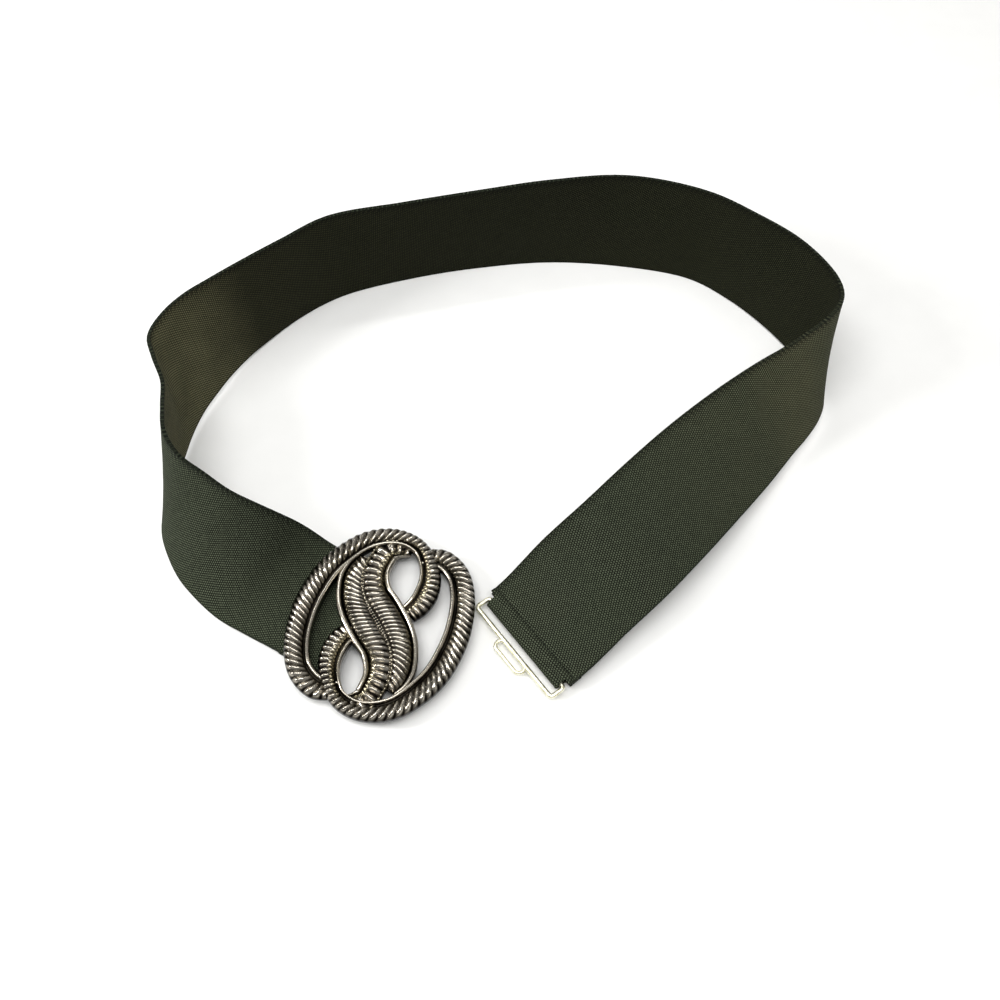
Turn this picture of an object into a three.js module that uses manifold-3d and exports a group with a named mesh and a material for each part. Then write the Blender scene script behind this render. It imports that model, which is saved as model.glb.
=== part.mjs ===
// Stretch belt: a woven elastic band lying in an open loop, upright at the back and twisted over flat at both
// ends, with a pierced cast buckle on one end and a wire clasp loop in the hem of the other. Millimetres, +Z up.

import * as THREE from 'three';
import { mergeVertices } from 'three/addons/utils/BufferGeometryUtils.js';
import Module from 'manifold-3d';

const wasm = await Module();
wasm.setup();

// Driving dimensions
const GAP = 0.3;
const BAND = { width: 50, thickness: 1.6, step: 6.5, lanes: 4 };
const HEM = { stitchAt: 8, end: 11, barRadius: 1 };
const FOLD = { stitchAt: 16, end: 20, barRadius: 1.3 };

// The band's lower edge on its way round the waist, from the hem to the buckle's strap bar. lift is its height
// over the table. leanX, leanY and rise point from it to the upper edge, a band's width away: the band stands
// upright at the back and twists over on its way to both ends.
const BAND_SECTIONS = [
  { along: 0, x: 23, y: -89, lift: 5, leanX: -29.5, leanY: 39, rise: 0 },
  { along: 12, x: 32.5, y: -82, lift: 5.5, leanX: -31.5, leanY: 39, rise: 3 },
  { along: 24, x: 41.5, y: -74, lift: 7, leanX: -32, leanY: 37.5, rise: 7 },
  { along: 36, x: 50, y: -66, lift: 8.7, leanX: -32.5, leanY: 36, rise: 11.5 },
  { along: 59, x: 67, y: -50.5, lift: 11.5, leanX: -32.5, leanY: 34, rise: 17 },
  { along: 83, x: 83, y: -33.5, lift: 11.5, leanX: -31.5, leanY: 32.5, rise: 22 },
  { along: 107, x: 98, y: -16, lift: 9, leanX: -28.5, leanY: 30, rise: 28 },
  { along: 130, x: 113, y: 2, lift: 6, leanX: -25, leanY: 26, rise: 35 },
  { along: 154, x: 127.5, y: 20.5, lift: 4.6, leanX: -19.5, leanY: 19, rise: 42 },
  { along: 166, x: 135, y: 29.5, lift: 4.2, leanX: -16.5, leanY: 15.5, rise: 44.5 },
  { along: 178, x: 141.5, y: 39, lift: 3.6, leanX: -13.5, leanY: 12.5, rise: 46.5 },
  { along: 190, x: 145.8, y: 50, lift: 2.4, leanX: -7.4, leanY: 10, rise: 49 },
  { along: 202, x: 145, y: 62, lift: 1.6, leanX: 0, leanY: 7.5, rise: 49.5 },
  { along: 213, x: 139.5, y: 73.5, lift: 1.1, leanX: 5.3, leanY: 8.8, rise: 49.5 },
  { along: 237, x: 126.5, y: 94, lift: 0.7, leanX: 6.8, leanY: 8.8, rise: 49 },
  { along: 261, x: 110.5, y: 112, lift: 0.3, leanX: 3.7, leanY: 7.5, rise: 49.5 },
  { along: 285, x: 92, y: 125.6, lift: 0, leanX: 2, leanY: 7.5, rise: 49.5 },
  { along: 320, x: 58.5, y: 133.6, lift: 0, leanX: 1.5, leanY: 9.4, rise: 49 },
  { along: 356, x: 24, y: 136.1, lift: 0, leanX: 0, leanY: 3.4, rise: 50 },
  { along: 391, x: -10, y: 132.6, lift: 0, leanX: 0, leanY: 0, rise: 50 },
  { along: 427, x: -43.5, y: 125.6, lift: 0, leanX: 0, leanY: -0.4, rise: 50 },
  { along: 462, x: -76, y: 114.6, lift: 0, leanX: -1, leanY: 2.4, rise: 50 },
  { along: 486, x: -95, y: 101.4, lift: 0.2, leanX: -1.5, leanY: 1.5, rise: 50 },
  { along: 510, x: -111, y: 84.5, lift: 0.7, leanX: -4.5, leanY: 3.5, rise: 49.5 },
  { along: 522, x: -118, y: 75, lift: 1.3, leanX: -7, leanY: 5, rise: 49.5 },
  { along: 533, x: -124, y: 65, lift: 1.9, leanX: -10.5, leanY: 7, rise: 48.5 },
  { along: 545, x: -129, y: 55, lift: 2.2, leanX: -13, leanY: 7.5, rise: 48 },
  { along: 557, x: -134, y: 44, lift: 2, leanX: -12, leanY: 6.5, rise: 48.5 },
  { along: 569, x: -137.5, y: 32.5, lift: 1.5, leanX: -4.5, leanY: 6, rise: 49.5 },
  { along: 581, x: -139.5, y: 20.5, lift: 1.3, leanX: 3, leanY: 6, rise: 49.5 },
  { along: 593, x: -141.5, y: 8, lift: 1.4, leanX: 6.7, leanY: 6.5, rise: 49 },
  { along: 605, x: -143.2, y: -4.5, lift: 1.6, leanX: 10.7, leanY: 7.5, rise: 48.5 },
  { along: 616, x: -142.2, y: -17, lift: 2, leanX: 16.7, leanY: 10, rise: 47 },
  { along: 628, x: -138, y: -28, lift: 2.6, leanX: 22, leanY: 14.5, rise: 42.5 },
  { along: 640, x: -132, y: -38.5, lift: 2.4, leanX: 26, leanY: 19.5, rise: 38 },
  { along: 652, x: -124.5, y: -47, lift: 1.6, leanX: 27.5, leanY: 26, rise: 32.5 },
  { along: 664, x: -115, y: -55.5, lift: 1, leanX: 27, leanY: 34, rise: 24 },
  { along: 676, x: -105, y: -61.8, lift: 1.2, leanX: 25, leanY: 41.5, rise: 12 },
  { along: 688, x: -94.5, y: -67.6, lift: 2.3, leanX: 23, leanY: 44.5, rise: 3 },
  { along: 699, x: -84, y: -73.7, lift: 3.8, leanX: 23, leanY: 44.5, rise: 0.5 },
  { along: 714.5, x: -70, y: -81, lift: 6.4, leanX: 23, leanY: 44.5, rise: -0.5 },
];

// Where the strap bar runs behind the casting's middle, and how far the casting has turned down about it
const CASTING = { barX: -13.2, barY: -2, hang: 11, ribPitch: 2.2, ribDepth: 0.55 };

// The middles that the second ring and the second lobe are half a turn about
const RING_TURN = { x: 0, y: 1.8 };
const LOBE_TURN = { x: -1, y: 0.4 };

// One hooked ring of the casting, from its tucked tail over the side and round the teardrop hole. width is
// the whole width with the rim, crest the height of its ribs over the back, slant how far a rib's outer end
// leads along the ring for each millimetre of width.
const RING_SECTIONS = [
  { x: 0.4, y: 34.6, width: 7, crest: 2.8, slant: 0.1 },
  { x: 8.6, y: 37.2, width: 9.4, crest: 4.2, slant: 0.2 },
  { x: 17.3, y: 34.1, width: 9.8, crest: 4.8, slant: 0.5 },
  { x: 24.2, y: 25.5, width: 10.2, crest: 4.8, slant: 0.6 },
  { x: 29, y: 12.7, width: 10.6, crest: 4.8, slant: 0.5 },
  { x: 30.5, y: 2.1, width: 10.6, crest: 4.8, slant: 0.5 },
  { x: 30.2, y: -8, width: 10.2, crest: 4.8, slant: 0.6 },
  { x: 27.5, y: -17.3, width: 9.6, crest: 4.8, slant: 0.6 },
  { x: 22.5, y: -26.6, width: 8.6, crest: 4.8, slant: 0.4 },
  { x: 15.6, y: -32.3, width: 7.8, crest: 4.8, slant: 0.2 },
  { x: 8.2, y: -34.5, width: 7, crest: 4.8, slant: 0.1 },
  { x: 1.1, y: -33.3, width: 6.9, crest: 4.8, slant: 0 },
  { x: -4.7, y: -28.6, width: 7.8, crest: 4.8, slant: 0 },
  { x: -8.6, y: -22.9, width: 9.2, crest: 4.7, slant: 0 },
  { x: -10.1, y: -17.1, width: 9.8, crest: 4.6, slant: 0 },
  { x: -9.9, y: -11.5, width: 9.4, crest: 4.2, slant: 0 },
  { x: -7.9, y: -6.1, width: 8, crest: 3, slant: 0 },
];

// One lobe of the diagonal spine, from the ring's inner rim down to its pointed tip
const LOBE_SECTIONS = [
  { x: -12.6, y: 30.4, width: 9.6, crest: 3.8, slant: 0 },
  { x: -13.1, y: 24.4, width: 10.8, crest: 4.6, slant: 0 },
  { x: -12.4, y: 19.4, width: 11.4, crest: 5, slant: -0.1 },
  { x: -10.1, y: 14.8, width: 12, crest: 5.4, slant: -0.2 },
  { x: -6.7, y: 11, width: 12.4, crest: 5.6, slant: -0.4 },
  { x: -1.5, y: 7.9, width: 12.8, crest: 5.8, slant: -0.4 },
  { x: 3.1, y: 5.1, width: 12.8, crest: 5.8, slant: -0.4 },
  { x: 7.9, y: 1.7, width: 12.8, crest: 5.8, slant: -0.4 },
  { x: 12.3, y: -2.4, width: 12.4, crest: 5.6, slant: -0.3 },
  { x: 15.7, y: -7.3, width: 11.6, crest: 5.2, slant: -0.2 },
  { x: 17.8, y: -12.3, width: 11, crest: 4.8, slant: -0.1 },
  { x: 18.4, y: -17.2, width: 9, crest: 4.4, slant: 0 },
  { x: 18, y: -22, width: 5.4, crest: 4, slant: 0 },
];

// Hidden fastenings on the casting's back: how far the strap bar passes the band's edges, and the flat hook
const STRAP_BAR = { reach: 2.2, sides: 10 };
const HOOK = { width: 10, thickness: 1.2, left: 24.6, right: 32.6, post: 1.6, room: 3.4 };

// Wire clasp loop, as long as the band is wide. room is left between the hem's fold and the outer bar, and tilt
// is how far the loop has turned up about its bar in the hem.
const CLASP = { wireRadius: 1, room: 2.6, corner: 1.4, sides: 8, tilt: 8 };
const EYE = { wireRadius: 0.8, length: 17.5, reach: 4.6, offset: -1, sides: 8 };

// Joins rows of points into a closed skin. Open skins are capped with the contour, closed ones meet
// their own first row.
function loft(rings, contour) {
  const count = rings[0].length;
  const spans = contour ? rings.length - 1 : rings.length;
  const index = [];
  for (let i = 0; i < spans; i++) {
    const next = (i + 1) % rings.length;
    for (let j = 0; j < count; j++) {
      const k = (j + 1) % count;
      const [a, b, c, d] = [i * count + j, i * count + k, next * count + k, next * count + j];
      index.push(a, c, b, a, d, c);
    }
  }
  if (contour) {
    const last = (rings.length - 1) * count;
    for (const [a, b, c] of THREE.ShapeUtils.triangulateShape(contour, [])) {
      index.push(a, b, c, last + c, last + b, last + a);
    }
  }
  const geometry = new THREE.BufferGeometry();
  geometry.setAttribute('position', new THREE.Float32BufferAttribute(
    rings.flat().flatMap((point) => point.toArray()), 3));
  geometry.setIndex(index);
  return geometry;
}

function toSolid(geometry) {
  const bare = geometry.clone();
  bare.deleteAttribute('normal');
  bare.deleteAttribute('uv');
  const merged = mergeVertices(bare, 1e-4);
  return new wasm.Manifold(new wasm.Mesh({
    numProp: 3,
    vertProperties: new Float32Array(merged.attributes.position.array),
    triVerts: new Uint32Array(merged.index.array),
  }));
}

function toGeometry(solid) {
  const mesh = solid.getMesh();
  const geometry = new THREE.BufferGeometry();
  geometry.setAttribute('position', new THREE.BufferAttribute(mesh.vertProperties, 3));
  geometry.setIndex(new THREE.BufferAttribute(mesh.triVerts, 1));
  return geometry;
}

// Straight mixing between the rows of a table
function mixRows(rows, key, position) {
  const i = Math.min(Math.floor(position), rows.length - 2);
  return THREE.MathUtils.lerp(rows[i][key], rows[i + 1][key], position - i);
}

const lowerEdge = new THREE.CatmullRomCurve3(
  BAND_SECTIONS.map((row) => new THREE.Vector3(row.x, row.y, row.lift)));
const upperEdge = new THREE.CatmullRomCurve3(BAND_SECTIONS.map((row) => {
  const across = new THREE.Vector3(row.leanX, row.leanY, row.rise).setLength(BAND.width);
  return across.add(new THREE.Vector3(row.x, row.y, row.lift));
}));
const BAND_LENGTH = BAND_SECTIONS.at(-1).along;

function bandMiddle(along) {
  let i = BAND_SECTIONS.findIndex((row) => row.along > along) - 1;
  if (i < 0) i = along < 0 ? 0 : BAND_SECTIONS.length - 2;
  const [from, to] = [BAND_SECTIONS[i].along, BAND_SECTIONS[i + 1].along];
  const t = (i + (along - from) / (to - from)) / (BAND_SECTIONS.length - 1);
  const low = lowerEdge.getPoint(THREE.MathUtils.clamp(t, 0, 1));
  const high = upperEdge.getPoint(THREE.MathUtils.clamp(t, 0, 1));
  return { middle: low.clone().add(high).multiplyScalar(0.5), across: high.sub(low).normalize() };
}

// Where the band is at a length from its hem: along, across and out are at right angles to each other,
// and out points away from the waist
function bandFrame(along) {
  const { middle, across } = bandMiddle(along);
  const [from, to] = [Math.max(along - 1, 0), Math.min(along + 1, BAND_LENGTH)];
  const forward = bandMiddle(to).middle.sub(bandMiddle(from).middle);
  forward.addScaledVector(across, -forward.dot(across)).normalize();
  return { middle, across, forward, out: forward.clone().cross(across) };
}

// A fold wraps a round bar and comes back on the waist side, where it is stitched down
function foldRadius(fold) {
  return fold.barRadius + GAP + BAND.thickness;
}

function foldFaces(fold, distance) {
  const half = BAND.thickness / 2;
  const radius = foldRadius(fold);
  const centre = half - radius;
  if (distance < radius) {
    const rise = Math.sqrt(radius ** 2 - (radius - distance) ** 2);
    return { outer: centre + rise, inner: centre - rise };
  }
  if (distance >= fold.end) return { outer: half, inner: -half };
  const closed = Math.min((distance - radius) / (fold.stitchAt - radius), 1);
  return { outer: half, inner: THREE.MathUtils.lerp(half - 2 * radius, -3 * half, closed) };
}

function bandFaces(along) {
  const left = BAND_LENGTH - along;
  return along < left ? foldFaces(HEM, along) : foldFaces(FOLD, left);
}

function foldStations(fold) {
  const radius = foldRadius(fold);
  const round = [0.06, 0.3, 0.65, 1].map((part) => part * radius);
  return [...round, (radius + fold.stitchAt) / 2, fold.stitchAt, fold.end - 0.4, fold.end];
}

// The band's closed skin with its two folds, less the bars' tunnels and the corners that the loop's arms pass
function buildBand() {
  const stations = foldStations(HEM);
  const far = foldStations(FOLD).map((distance) => BAND_LENGTH - distance).reverse();
  const spans = Math.round((far[0] - HEM.end) / BAND.step);
  for (let i = 1; i < spans; i++) stations.push(THREE.MathUtils.lerp(HEM.end, far[0], i / spans));
  stations.push(...far);
  const half = BAND.width / 2;
  const lanes = Array.from({ length: BAND.lanes + 1 }, (_, i) => i / BAND.lanes);
  const contour = [
    ...lanes.map((lane) => new THREE.Vector2(1, lane)),
    ...lanes.map((lane) => new THREE.Vector2(0, 1 - lane)),
  ];
  const rings = stations.map((along) => {
    const { middle, across, out } = bandFrame(along);
    const { outer, inner } = bandFaces(along);
    return contour.map(({ x, y }) => {
      const point = middle.clone().addScaledVector(out, THREE.MathUtils.lerp(inner, outer, x));
      return point.addScaledVector(across, THREE.MathUtils.lerp(-half, half, y));
    });
  });
  const bars = [barPlace(HEM, foldRadius(HEM)), barPlace(FOLD, BAND_LENGTH - foldRadius(FOLD))];
  const cutters = bars.map(({ place, fold }) => {
    const radius = fold.barRadius + GAP;
    return new THREE.CylinderGeometry(radius, radius, BAND.width + 4, 12).applyMatrix4(place);
  });
  const [tip, mouth] = [-foldRadius(HEM) - 1, HEM.barRadius + GAP];
  const [inside, outside, high] = [half - 2 * CLASP.wireRadius - GAP, half + 2, foldRadius(HEM) + 1];
  cutters.push(boxBetween([tip, inside, -high], [mouth, outside, high]).applyMatrix4(bars[0].place));
  cutters.push(boxBetween([tip, -outside, -high], [mouth, -inside, high]).applyMatrix4(bars[0].place));
  return cutters.reduce((solid, cutter) => solid.subtract(toSolid(cutter)), toSolid(loft(rings, contour)));
}

// The place of a bar inside its fold: x along the band, y across it, z out of the waist
function barPlace(fold, along) {
  const { middle, forward, across, out } = bandFrame(along);
  const depth = BAND.thickness / 2 - foldRadius(fold);
  const place = new THREE.Matrix4().makeBasis(forward, across, out);
  place.setPosition(middle.clone().addScaledVector(out, depth));
  return { place, fold };
}

// The cross-sections of the casting's ribbed strips: the back, the ribbed round, a groove and the smooth rim.
// Each row is a share of the width from the ribbed side, and a share of the crest's height. The lobes stay high
// on their ribbed sides, where they meet.
const STRIP_END = [
  { share: 0.37, height: 1, ribbed: 1 },
  { share: 0.6, height: 0.84, ribbed: 1 },
  { share: 0.76, height: 0.5, ribbed: 0 },
  { share: 0.87, height: 0.74, ribbed: 0 },
  { share: 1, height: 0.48, ribbed: 0 },
  { share: 1, height: 0, ribbed: 0 },
];
const RING_PROFILE = [
  { share: 0, height: 0, ribbed: 0 },
  { share: 0, height: 0.42, ribbed: 0.2 },
  { share: 0.15, height: 0.82, ribbed: 1 },
  ...STRIP_END,
];
const LOBE_PROFILE = [
  { share: 0, height: 0, ribbed: 0 },
  { share: 0, height: 0.6, ribbed: 0.2 },
  { share: 0.13, height: 0.84, ribbed: 1 },
  ...STRIP_END,
];

// rimSide is 1 when the smooth rim is on the right of the way the sections go, and -1 on the left
function ribbedStrip(rows, profile, rimSide) {
  const path = new THREE.CatmullRomCurve3(rows.map((row) => new THREE.Vector3(row.x, row.y, 0)));
  const length = path.getLength();
  const ribs = Math.round(length / CASTING.ribPitch);
  const rings = [];
  for (let i = 0; i <= 2 * ribs; i++) {
    const u = i / (2 * ribs);
    const row = path.getUtoTmapping(u) * (rows.length - 1);
    const [width, crest, slant] = ['width', 'crest', 'slant'].map((key) => mixRows(rows, key, row));
    rings.push(profile.map(({ share, height, ribbed }) => {
      const side = (share - 0.5) * width;
      const lead = slant * -side / length;
      const at = THREE.MathUtils.clamp(u + lead, 0, 1);
      const point = path.getPointAt(at);
      const tangent = path.getTangentAt(at);
      const right = new THREE.Vector3(tangent.y, -tangent.x, 0).multiplyScalar(rimSide);
      const cut = i % 2 ? ribbed * CASTING.ribDepth : 0;
      return point.addScaledVector(right, side).setZ(height * crest - cut);
    }));
  }
  if (rimSide > 0) rings.forEach((ring) => ring.reverse());
  const contour = rings[0].map((_, j) => {
    const { share, height } = profile[rimSide > 0 ? profile.length - 1 - j : j];
    return new THREE.Vector2(share * rimSide, height);
  });
  return toSolid(loft(rings, contour));
}

function halfTurned(solid, middle) {
  return solid.rotate([0, 0, 180]).translate([2 * middle.x, 2 * middle.y, 0]);
}

function boxBetween(low, high) {
  const size = high.map((value, axis) => value - low[axis]);
  const box = new THREE.BoxGeometry(...size);
  return box.translate(...low.map((value, axis) => value + size[axis] / 2));
}

// The plain round bar that the band is folded on, with a post at each end up to the casting's back
function buildStrapBar() {
  const radius = FOLD.barRadius;
  const half = BAND.width / 2 + STRAP_BAR.reach;
  const depth = -foldRadius(FOLD) - GAP;
  const bar = new THREE.CylinderGeometry(radius, radius, 2 * half, STRAP_BAR.sides);
  bar.translate(CASTING.barX, CASTING.barY, depth);
  const posts = [CASTING.barY - half, CASTING.barY + half].map((end) => toSolid(boxBetween(
    [CASTING.barX - radius, end - radius, depth - radius], [CASTING.barX + radius, end + radius, 1])));
  return posts.reduce((solid, post) => solid.add(post), toSolid(bar));
}

// The flat hook that the clasp's eye slips over, open towards the band
function buildHook() {
  const [front, back] = [CASTING.barY + HOOK.width / 2, CASTING.barY - HOOK.width / 2];
  const tongue = boxBetween([HOOK.left, back, -HOOK.room - HOOK.thickness], [HOOK.right, front, -HOOK.room]);
  const post = boxBetween([HOOK.right - HOOK.post, back, -HOOK.room - 0.1], [HOOK.right, front, 1]);
  return toSolid(tongue).add(toSolid(post));
}

function buildBuckle() {
  const ring = ribbedStrip(RING_SECTIONS, RING_PROFILE, 1);
  const lobe = ribbedStrip(LOBE_SECTIONS, LOBE_PROFILE, -1);
  const rings = ring.add(halfTurned(ring, RING_TURN));
  const casting = rings.add(lobe).add(halfTurned(lobe, LOBE_TURN));
  return casting.add(buildStrapBar()).add(buildHook());
}

// A round wire bent round a closed flat outline
function wireRing(outline, radius, sides) {
  const rings = outline.map((point, i) => {
    const before = outline.at(i - 1);
    const after = outline[(i + 1) % outline.length];
    const way = after.clone().sub(before).normalize();
    const side = new THREE.Vector3(way.y, -way.x, 0);
    return Array.from({ length: sides }, (_, j) => {
      const angle = 2 * Math.PI * j / sides;
      const reach = side.clone().multiplyScalar(radius * Math.cos(angle));
      return point.clone().add(reach).setZ(radius * Math.sin(angle));
    });
  });
  return toSolid(loft(rings));
}

// A rectangle with round corners, as the middle line of a wire
function roundedOutline(left, right, low, high, corner) {
  const centres = [
    { x: right - corner, y: high - corner, from: 0 },
    { x: left + corner, y: high - corner, from: 90 },
    { x: left + corner, y: low + corner, from: 180 },
    { x: right - corner, y: low + corner, from: 270 },
  ];
  return centres.flatMap(({ x, y, from }) => [0, 30, 60, 90].map((turn) => {
    const angle = THREE.MathUtils.degToRad(from + turn);
    return new THREE.Vector3(x + corner * Math.cos(angle), y + corner * Math.sin(angle), 0);
  }));
}

// x is along the band, away from its hem at -x, and y across it; the bar in the hem lies on x = 0
function buildClaspLoop() {
  const sideLine = BAND.width / 2 - CLASP.wireRadius;
  const outerBar = foldRadius(HEM) + CLASP.room + CLASP.wireRadius;
  const loop = wireRing(
    roundedOutline(-outerBar, 0, -sideLine, sideLine, CLASP.corner), CLASP.wireRadius, CLASP.sides);
  const reach = EYE.length / 2 - EYE.wireRadius;
  const eye = wireRing(
    roundedOutline(-outerBar - EYE.reach, -outerBar, EYE.offset - reach, EYE.offset + reach, EYE.reach / 2 - 0.05),
    EYE.wireRadius, EYE.sides);
  return loop.add(eye);
}

function material(color, roughness, metalness) {
  return new THREE.MeshStandardMaterial({ color, roughness, metalness });
}

function named(name, solid, finish) {
  const mesh = new THREE.Mesh(toGeometry(solid), finish);
  mesh.name = name;
  return mesh;
}

const belt = new THREE.Group();

const band = named('elastic_band', buildBand(), material(0x2d352b, 0.9, 0));
belt.add(band);

const buckle = named('buckle', buildBuckle(), material(0x6b675e, 0.35, 1));
const bucklePlace = barPlace(FOLD, BAND_LENGTH - foldRadius(FOLD)).place;
bucklePlace.multiply(new THREE.Matrix4().makeRotationY(THREE.MathUtils.degToRad(CASTING.hang)));
bucklePlace.multiply(new THREE.Matrix4().makeTranslation(-CASTING.barX, -CASTING.barY, foldRadius(FOLD) + GAP));
buckle.applyMatrix4(bucklePlace);
belt.add(buckle);

const clasp = named('clasp_loop', buildClaspLoop(), material(0xd9d2a8, 0.3, 1));
clasp.rotation.y = THREE.MathUtils.degToRad(CLASP.tilt);
clasp.updateMatrix();
clasp.applyMatrix4(barPlace(HEM, foldRadius(HEM)).place);
belt.add(clasp);

// The origin is the middle of the belt's footprint, on the table
belt.updateMatrixWorld(true);
const bounds = new THREE.Box3().setFromObject(belt, true);
belt.position.set(
  -(bounds.min.x + bounds.max.x) / 2, -(bounds.min.y + bounds.max.y) / 2, -bounds.min.z);

export default belt;
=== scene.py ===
import math

import bpy
import numpy as np
from mathutils import Matrix, Vector


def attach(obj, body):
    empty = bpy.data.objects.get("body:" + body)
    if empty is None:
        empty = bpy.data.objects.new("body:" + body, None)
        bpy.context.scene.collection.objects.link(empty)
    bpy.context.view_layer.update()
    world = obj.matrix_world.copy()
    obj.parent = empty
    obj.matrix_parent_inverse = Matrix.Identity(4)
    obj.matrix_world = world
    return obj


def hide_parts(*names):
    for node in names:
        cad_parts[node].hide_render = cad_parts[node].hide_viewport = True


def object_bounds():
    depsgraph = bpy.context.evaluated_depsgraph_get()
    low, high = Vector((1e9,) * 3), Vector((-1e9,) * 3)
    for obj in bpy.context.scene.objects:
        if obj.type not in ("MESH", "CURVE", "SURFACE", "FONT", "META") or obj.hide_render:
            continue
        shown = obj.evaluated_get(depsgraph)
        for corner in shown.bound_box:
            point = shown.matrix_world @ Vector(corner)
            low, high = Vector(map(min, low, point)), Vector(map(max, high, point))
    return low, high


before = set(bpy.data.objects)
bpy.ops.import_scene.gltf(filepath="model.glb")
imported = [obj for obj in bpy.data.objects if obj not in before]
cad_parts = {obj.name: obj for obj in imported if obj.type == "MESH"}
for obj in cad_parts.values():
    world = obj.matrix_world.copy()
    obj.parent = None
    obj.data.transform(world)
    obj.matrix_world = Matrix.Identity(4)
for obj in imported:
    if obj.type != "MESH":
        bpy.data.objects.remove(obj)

bl_info = {
    "name": "Stretch belt",
    "version": (1, 0, 0),
    "blender": (4, 5, 0),
    "location": "View3D > Sidebar > Belt",
    "description": "Builds a woven stretch belt with a cast buckle and a wire clasp",
    "category": "Object",
}

MM = 0.001
CAD_LOW, CAD_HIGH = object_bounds()

# Sizes in millimetres
GAP = 0.3
WIDTH = 50.0
THICKNESS = 1.6
# Where the bound edge begins, beside the band's middle line
BINDING = 24.2
# The two folds, from their folded edges: the stitches, the turned-under end, the bar's radius and how far
# past the bar the rows of points lie close
HEM = {"stitch_at": 8.0, "end": 11.0, "bar": 1.0, "fine": 10.0}
FOLD = {"stitch_at": 16.0, "end": 20.0, "bar": 1.3, "fine": 18.0}
# The cut in the hem's corners for the clasp's arms: where it begins beside the band's middle line, and how
# far it runs past the bar's hole
NOTCH = {"side": 22.2, "past": 0.6}
# How far the stitches' crease spreads, and where the hem puffs up between its edge and its stitches
CREASE_SPREAD = 0.7
PUFF = {"at": 5.6, "spread": 1.1}
# From the tables' own places to the frame's origin
PLACE = np.array([-0.083, -21.197, 0.164])

# The band's lower edge round the waist and the way from it to the upper edge:
# along, x, y, lift, lean_x, lean_y, rise
BAND_ROWS = np.array([
    (0, 23, -89, 5, -29.5, 39, 0),
    (12, 32.5, -82, 5.5, -31.5, 39, 3),
    (24, 41.5, -74, 7, -32, 37.5, 7),
    (36, 50, -66, 8.7, -32.5, 36, 11.5),
    (59, 67, -50.5, 11.5, -32.5, 34, 17),
    (83, 83, -33.5, 11.5, -31.5, 32.5, 22),
    (107, 98, -16, 9, -28.5, 30, 28),
    (130, 113, 2, 6, -25, 26, 35),
    (154, 127.5, 20.5, 4.6, -19.5, 19, 42),
    (166, 135, 29.5, 4.2, -16.5, 15.5, 44.5),
    (178, 141.5, 39, 3.6, -13.5, 12.5, 46.5),
    (190, 145.8, 50, 2.4, -7.4, 10, 49),
    (202, 145, 62, 1.6, 0, 7.5, 49.5),
    (213, 139.5, 73.5, 1.1, 5.3, 8.8, 49.5),
    (237, 126.5, 94, 0.7, 6.8, 8.8, 49),
    (261, 110.5, 112, 0.3, 3.7, 7.5, 49.5),
    (285, 92, 125.6, 0, 2, 7.5, 49.5),
    (320, 58.5, 133.6, 0, 1.5, 9.4, 49),
    (356, 24, 136.1, 0, 0, 3.4, 50),
    (391, -10, 132.6, 0, 0, 0, 50),
    (427, -43.5, 125.6, 0, 0, -0.4, 50),
    (462, -76, 114.6, 0, -1, 2.4, 50),
    (486, -95, 101.4, 0.2, -1.5, 1.5, 50),
    (510, -111, 84.5, 0.7, -4.5, 3.5, 49.5),
    (522, -118, 75, 1.3, -7, 5, 49.5),
    (533, -124, 65, 1.9, -10.5, 7, 48.5),
    (545, -129, 55, 2.2, -13, 7.5, 48),
    (557, -134, 44, 2, -12, 6.5, 48.5),
    (569, -137.5, 32.5, 1.5, -4.5, 6, 49.5),
    (581, -139.5, 20.5, 1.3, 3, 6, 49.5),
    (593, -141.5, 8, 1.4, 6.7, 6.5, 49),
    (605, -143.2, -4.5, 1.6, 10.7, 7.5, 48.5),
    (616, -142.2, -17, 2, 16.7, 10, 47),
    (628, -138, -28, 2.6, 22, 14.5, 42.5),
    (640, -132, -38.5, 2.4, 26, 19.5, 38),
    (652, -124.5, -47, 1.6, 27.5, 26, 32.5),
    (664, -115, -55.5, 1, 27, 34, 24),
    (676, -105, -61.8, 1.2, 25, 41.5, 12),
    (688, -94.5, -67.6, 2.3, 23, 44.5, 3),
    (699, -84, -73.7, 3.8, 23, 44.5, 0.5),
    (714.5, -70, -81, 6.4, 23, 44.5, -0.5),
], dtype=float)
LENGTH = BAND_ROWS[-1, 0]

# The casting against its strap bar, and the hook plate behind it
CASTING = {"bar_x": -13.2, "bar_y": -2.0, "hang": 11.0, "post_reach": 2.2}
HOOK = {"half": 5.0, "left": 24.6, "right": 32.6, "post": 1.6, "room": 3.4, "thickness": 1.2}
# The middles that the second ring and the second lobe are half a turn about
RING_TURN = (0.0, 1.8)
LOBE_TURN = (-1.0, 0.4)
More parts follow.
